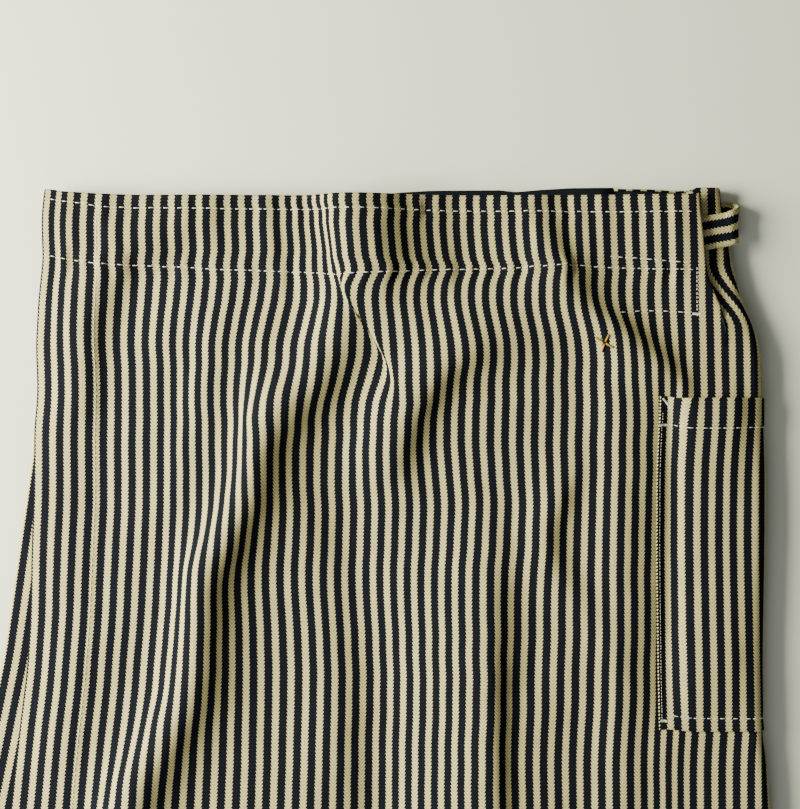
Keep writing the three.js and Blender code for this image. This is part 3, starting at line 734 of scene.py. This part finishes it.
width_way /= np.linalg.norm(width_way, axis=1, keepdims=True)
face_way = np.cross(width_way, along)
half = np.linspace(-1, 1, 9)
crown = 0.5 * (1 - half ** 2)
tie_places = (middle[:, None] + width_way[:, None] * half[None, :, None] * TIE_STRAP / 2
              + face_way[:, None] * crown[None, :, None] * 0.6)
tie_along = np.repeat(steps[:, None], len(half), axis=1)
tie_across = np.repeat(half[None] * TIE_STRAP / 2, len(steps), axis=0)
strap_drill = striped_drill("striped_tie_cotton", shift=0.5)
tie = lay_cloth("tie_strap", tie_places[:, ::-1], tie_across[:, ::-1], tie_along, [strap_drill],
                thickness=TIE_THICK)
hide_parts("tie")
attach(tie, "garment")

# The patch pocket: one piece of the same drill with its edges turned under, sewn over the side at
# the hip so that it wraps round it. Its mouth has a turned-in hem, and its stripes are matched to
# none in particular, so they stand beside the front's.
POCKET_TOP, POCKET_DEPTH, POCKET_WIDTH = 130, 211, 139
POCKET_EDGE = [(130, 215.3), (150, 215), (176, 213.6), (225, 213.4), (300, 214.6), (344, 215.3)]
POCKET_HEM = 18
POCKET_STAND = 1.25
POCKET_ROLL = 0.8          # radius of its turned edges
pocket_roll = [(math.sin(a) * POCKET_ROLL, POCKET_ROLL * (1 - math.cos(a)))
               for a in (math.pi, 2.1, 1.2, 0.5)]


def pocket_grid(width_steps, depth_steps):
    """Where the pocket's own points go: (across, down) on the pocket, with turned edges."""
    s = np.concatenate([[-out for out, drop in pocket_roll], width_steps])
    s_drop = np.concatenate([[drop for out, drop in pocket_roll], 0 * width_steps])
    t = np.concatenate([[-out for out, drop in pocket_roll], depth_steps,
                        [depth_steps[-1] + out for out, drop in pocket_roll[::-1]]])
    t_drop = np.concatenate([[drop for out, drop in pocket_roll], 0 * depth_steps,
                             [drop for out, drop in pocket_roll[::-1]]])
    return s, s_drop, t, t_drop


def pocket_lift(s, t):
    """How far the pocket stands off the front: sewn flat at its edges, loose in between."""
    sewn = ease(s, 2, 22) * (1 - ease(s, 44, 62)) * ease(POCKET_DEPTH - t, 2, 26)
    mouth = 1 - ease(t, 4, 60)
    seam = np.exp(-((s - 2.5) / 1.6) ** 2) + np.exp(-((POCKET_DEPTH - t - 8) / 2.2) ** 2)
    hem = 0.7 * (1 - ease(t, POCKET_HEM - 1, POCKET_HEM + 2)) - 0.35 * np.exp(-((t - POCKET_HEM) / 1.6) ** 2)
    near_hem = np.exp(-((t - POCKET_HEM) / 8) ** 2)
    return (POCKET_STAND + sewn * (1.6 + 1.6 * mouth) + hem - 0.25 * seam
            + ripples(s, t, 31, 26, 0.18) * sewn + ripples(s, t * 0.2, 33, 12, 0.15) * near_hem)


def pocket_across(s, v):
    """How far across the front's cloth the pocket's point is that lies s from its sewn edge."""
    rows_v = np.arange(POCKET_TOP - 12, POCKET_TOP + POCKET_DEPTH + 16, 4.0)
    marks = np.concatenate([[-4], np.linspace(0, 24, 9)])
    edge_x = outline(POCKET_EDGE, rows_v)
    found = np.array([across_at(rows_v, edge_x + mark) for mark in marks]).T
    found = soften(found, 2, 0)
    u = np.empty(s.shape)
    for index in np.ndindex(s.shape):
        at = min(max((v[index] - rows_v[0]) / 4, 0), len(rows_v) - 1.001)
        low, part = int(at), at - int(at)
        line = found[low] * (1 - part) + found[low + 1] * part
        u[index] = np.interp(min(s[index], 24), marks, line) + max(s[index] - 24, 0)
    return u


def lay_pocket(name, width_steps, depth_steps, under, faces, rolled=True):
    """A layer of the pocket, laid over the front and round the side."""
    if rolled:
        s, s_drop, t, t_drop = pocket_grid(width_steps, depth_steps)
    else:
        s, s_drop, t, t_drop = width_steps, 0 * width_steps, depth_steps, 0 * depth_steps
    down = POCKET_TOP + t
    v = np.repeat(down[:, None], len(s), axis=1)
    u = pocket_across(s[None] + 0 * v, v)
    lift = pocket_lift(np.maximum(s, 0)[None] + 0 * v, np.clip(t, 0, POCKET_DEPTH)[:, None] + 0 * u)
    lift = lift - s_drop[None] - t_drop[:, None] - under
    own_u = FIRST_STRIPE - 2 + s[None] + 0 * v
    return lay_cloth(name, on_cloth(front_face, u, v, lift), own_u, v, faces, thickness=0.8)


pocket = lay_pocket("patch_pocket", np.linspace(0, POCKET_WIDTH, 48), np.linspace(0, POCKET_DEPTH, 54), 0,
                    [drill, drill_reverse])
pocket_hem = lay_pocket("pocket_mouth_hem_cloth", np.linspace(3, POCKET_WIDTH - 2, 30),
                        np.linspace(1, POCKET_HEM + 2, 6), 0.95, [drill], rolled=False)
for piece, nodes in ((pocket, ["pocket_front", "pocket_side"]), (pocket_hem, ["pocket_mouth_hem"])):
    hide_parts(*nodes)
    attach(piece, "garment")

# The stitching: thick cream cotton thread, lockstitched through every layer. Each stitch is a
# short rounded piece of thread that dips into the cloth at both ends.


def thread_material(name, low, high):
    """Twisted cotton sewing thread: matt, and a little uneven from stitch to stitch."""
    material, tree, out = new_material(name)
    place = add(tree, "ShaderNodeTexCoord").outputs["Object"]
    uneven = add(tree, "ShaderNodeTexNoise", {"Vector": place, "Scale": 160, "Detail": 2})
    colour = add(tree, "ShaderNodeMix", {0: uneven.outputs["Fac"], 6: linear(low), 7: linear(high)},
                 data_type="RGBA")
    twist = add(tree, "ShaderNodeTexWave", {"Vector": place, "Scale": 900, "Distortion": 1.5},
                bands_direction="DIAGONAL")
    relief = add(tree, "ShaderNodeBump", {"Height": twist.outputs["Fac"], "Strength": 0.4,
                                          "Distance": 0.0001})
    shell = add(tree, "ShaderNodeBsdfPrincipled", {
        "Base Color": colour.outputs[2], "Roughness": 0.75, "Specular IOR Level": 0.3,
        "Normal": relief.outputs[0]})
    tree.links.new(shell.outputs[0], out.inputs[0])
    return material


cream_thread = thread_material("cream_cotton_thread", "#cfc7ae", "#f1ecdc")
mustard_thread = thread_material("mustard_cotton_thread", "#7a5a14", "#b48c2c")
RING = 6
STITCH_RINGS = [(0, 0.8, -0.3), (0.1, 1, 0.14), (0.5, 1, 0.22), (0.9, 1, 0.14), (1, 0.8, -0.3)]


def sew(name, starts, ends, thread, radius=0.23, place=None):
    """One mesh of stitches from starts to ends, each (across, down) on a cloth."""
    place = place or (lambda u, v, lift: on_cloth(front_face, u, v, lift))
    starts, ends = np.array(starts, float), np.array(ends, float)
    share = np.array([ring[0] for ring in STITCH_RINGS])
    size = np.array([ring[1] for ring in STITCH_RINGS]) * radius
    lift = np.array([ring[2] for ring in STITCH_RINGS])
    points = starts[:, None] + (ends - starts)[:, None] * share[None, :, None]
    centre = place(points[..., 0], points[..., 1], np.broadcast_to(lift, points.shape[:2]))
    above = place(points[..., 0], points[..., 1], np.broadcast_to(lift + 1, points.shape[:2]))
    out = above - centre
    way = centre[:, -1:] - centre[:, :1]
    way = way / (np.linalg.norm(way, axis=-1, keepdims=True) + 1e-9)
    side = np.cross(way, out)
    side = side / (np.linalg.norm(side, axis=-1, keepdims=True) + 1e-9)
    angle = (np.arange(RING) * 2 * math.pi / RING)[None, None, :, None]
    around = side[:, :, None] * np.cos(angle) + out[:, :, None] * np.sin(angle)
    ring = centre[:, :, None] + size[None, :, None, None] * around
    count, rings = ring.shape[:2]
    faces = []
    for stitch in range(count):
        base = stitch * rings * RING
        for i in range(rings - 1):
            for j in range(RING):
                a, b = base + i * RING + j, base + i * RING + (j + 1) % RING
                faces.append((a, b, b + RING, a + RING))
        faces.append(tuple(base + j for j in range(RING))[::-1])
        faces.append(tuple(base + (rings - 1) * RING + j for j in range(RING)))
    mesh = bpy.data.meshes.new(name)
    mesh.from_pydata((ring.reshape(-1, 3) * MM).tolist(), [], faces)
    piece = bpy.data.objects.new(name, mesh)
    bpy.context.collection.objects.link(piece)
    bpy.ops.object.select_all(action="DESELECT")
    piece.select_set(True)
    bpy.context.view_layer.objects.active = piece
    bpy.ops.object.mode_set(mode="EDIT")
    bpy.ops.mesh.select_all(action="SELECT")
    bpy.ops.mesh.normals_make_consistent(inside=False)
    bpy.ops.object.mode_set(mode="OBJECT")
    bpy.ops.object.shade_smooth()
    mesh.materials.append(thread)
    return piece


stitch_dice = np.random.RandomState(17)


def running(line, pitch=4.7, length=3.3):
    """The starts and ends of a row of stitches along a line of (across, down) points."""
    line = np.array(line, float)
    travel = np.concatenate([[0], np.cumsum(np.linalg.norm(np.diff(line, axis=0), axis=1))])
    begin = np.arange(0.6, travel[-1] - length, pitch) + stitch_dice.uniform(-0.25, 0.25)
    begin = begin + stitch_dice.uniform(-0.25, 0.25, len(begin))
    end = begin + length + stitch_dice.uniform(-0.3, 0.3, len(begin))
    def at(travelled):
        return np.stack([np.interp(travelled, travel, line[:, axis]) for axis in range(2)], -1)
    starts, ends = at(begin), at(end)
    return starts.tolist(), ends.tolist()


def rows_of(*lines, **spacing):
    """Several rows of stitches together."""
    pairs = [running(line, **spacing) for line in lines]
    return [start for pair in pairs for start in pair[0]], [end for pair in pairs for end in pair[1]]


def tack(start, end, width=2.0, pitch=0.55):
    """A bar tack: close stitches across a short line."""
    start, end = np.array(start, float), np.array(end, float)
    length = np.linalg.norm(end - start)
    way = (end - start) / length
    side = np.array([-way[1], way[0]]) * width / 2
    middles = start + way * np.arange(0, length, pitch)[:, None]
    return (middles - side + way * 0.2).tolist(), (middles + side - way * 0.2).tolist()


def by_x(*points):
    """Turns (x, down) points on the front into (across, down) ones."""
    return [(float(across_at(v, x)[0]), v) for x, v in points]


def dense(line, step=12):
    """The same line with points at least every step along it."""
    line = np.array(line, float)
    travel = np.concatenate([[0], np.cumsum(np.linalg.norm(np.diff(line, axis=0), axis=1))])
    marks = np.linspace(0, travel[-1], max(2, round(travel[-1] / step)))
    return np.stack([np.interp(marks, travel, line[:, axis]) for axis in range(2)], -1)


def pocket_point(s, t, lift):
    """A point on the pocket's own face."""
    s, t, lift = np.broadcast_arrays(s, t, lift)
    down = POCKET_TOP + t
    return on_cloth(front_face, pocket_across(s, down), down, lift + pocket_lift(s, t))


front_rows = [
    ("flap_and_front_waist_rows", rows_of(UPPER_ROW, LOWER_ROW),
     ["flap_upper_waist_stitch", "flap_lower_waist_stitch", "front_upper_waist_stitch",
      "front_lower_waist_stitch"]),
    ("flap_edge_hem_row", rows_of([(38.4, 4), (38.2, 400), (38.4, 790)], pitch=3.6, length=2.4),
     ["flap_edge_hem_stitch"]),
    ("front_bottom_hem_row", rows_of([(2, 758), (440, 758)]),
     ["flap_bottom_hem_stitch", "front_bottom_hem_stitch"]),
    ("slit_patch_rows", rows_of(dense(by_x((183, 38.5), (200, 39.6), (233, 43.2))),
                                dense(by_x((190, 74.4), (210, 72.5), (238.3, 75.6)))), ["slit_patch_stitch"]),
    ("slit_edge_row", rows_of([(452.6, 46), (452.2, 79)], pitch=2.6, length=1.7), ["slit_edge_stitch"]),
    ("slit_foot_tack", tack((449.5, 75.6), (454.5, 75.8), 1.6), ["slit_foot_bartack"]),
]
for name, (starts, ends), nodes in front_rows:
    row = sew(name, starts, ends, cream_thread)
    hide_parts(*nodes)
    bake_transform(row)

pocket_rows = [
    ("pocket_mouth_row", rows_of([(0.8, POCKET_HEM), (136, POCKET_HEM)], pitch=4.2, length=3.0),
     ["pocket_mouth_stitch"]),
    ("pocket_edge_row", rows_of([(1.0, 9), (1.0, 208)], pitch=1.9, length=1.15), ["pocket_edge_stitch"]),
    ("pocket_foot_row", rows_of([(8, 203), (136, 204)], pitch=4.2, length=3.0), ["pocket_foot_stitch"]),
    ("pocket_corner_tack", tack((1, 0.4), (7, 7.5), 1.5), ["pocket_corner_bartack"]),
    ("pocket_mouth_tack", tack((0.2, POCKET_HEM), (4.6, POCKET_HEM + 0.4), 1.8), ["pocket_mouth_bartack"]),
    ("pocket_foot_tack", tack((0.4, 206), (4.4, 206.6), 1.6), ["pocket_foot_bartack"]),
]
for name, (starts, ends), nodes in pocket_rows:
    radius = 0.15 if name == "pocket_edge_row" else 0.22
    row = sew(name, starts, ends, cream_thread, radius=radius, place=pocket_point)
    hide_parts(*nodes)
    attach(row, "garment")

# The small stitched mark: four short arms of thick mustard thread on the right of the front.
mark_u, mark_v = by_x((179.5, 95))[0]
MARK_REACH = 6.6
arms = [(math.cos(a) * MARK_REACH, math.sin(a) * MARK_REACH) for a in (0.5, 2.0, 3.7, 5.3)]
mark = sew("plain_stitched_mark", [(mark_u + du * 0.12, mark_v + dv * 0.12) for du, dv in arms],
           [(mark_u + du, mark_v + dv) for du, dv in arms], mustard_thread, radius=0.6,
           place=lambda u, v, lift: on_cloth(front_face, u, v, lift + 0.4))
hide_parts("stitched_mark")
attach(mark, "garment")
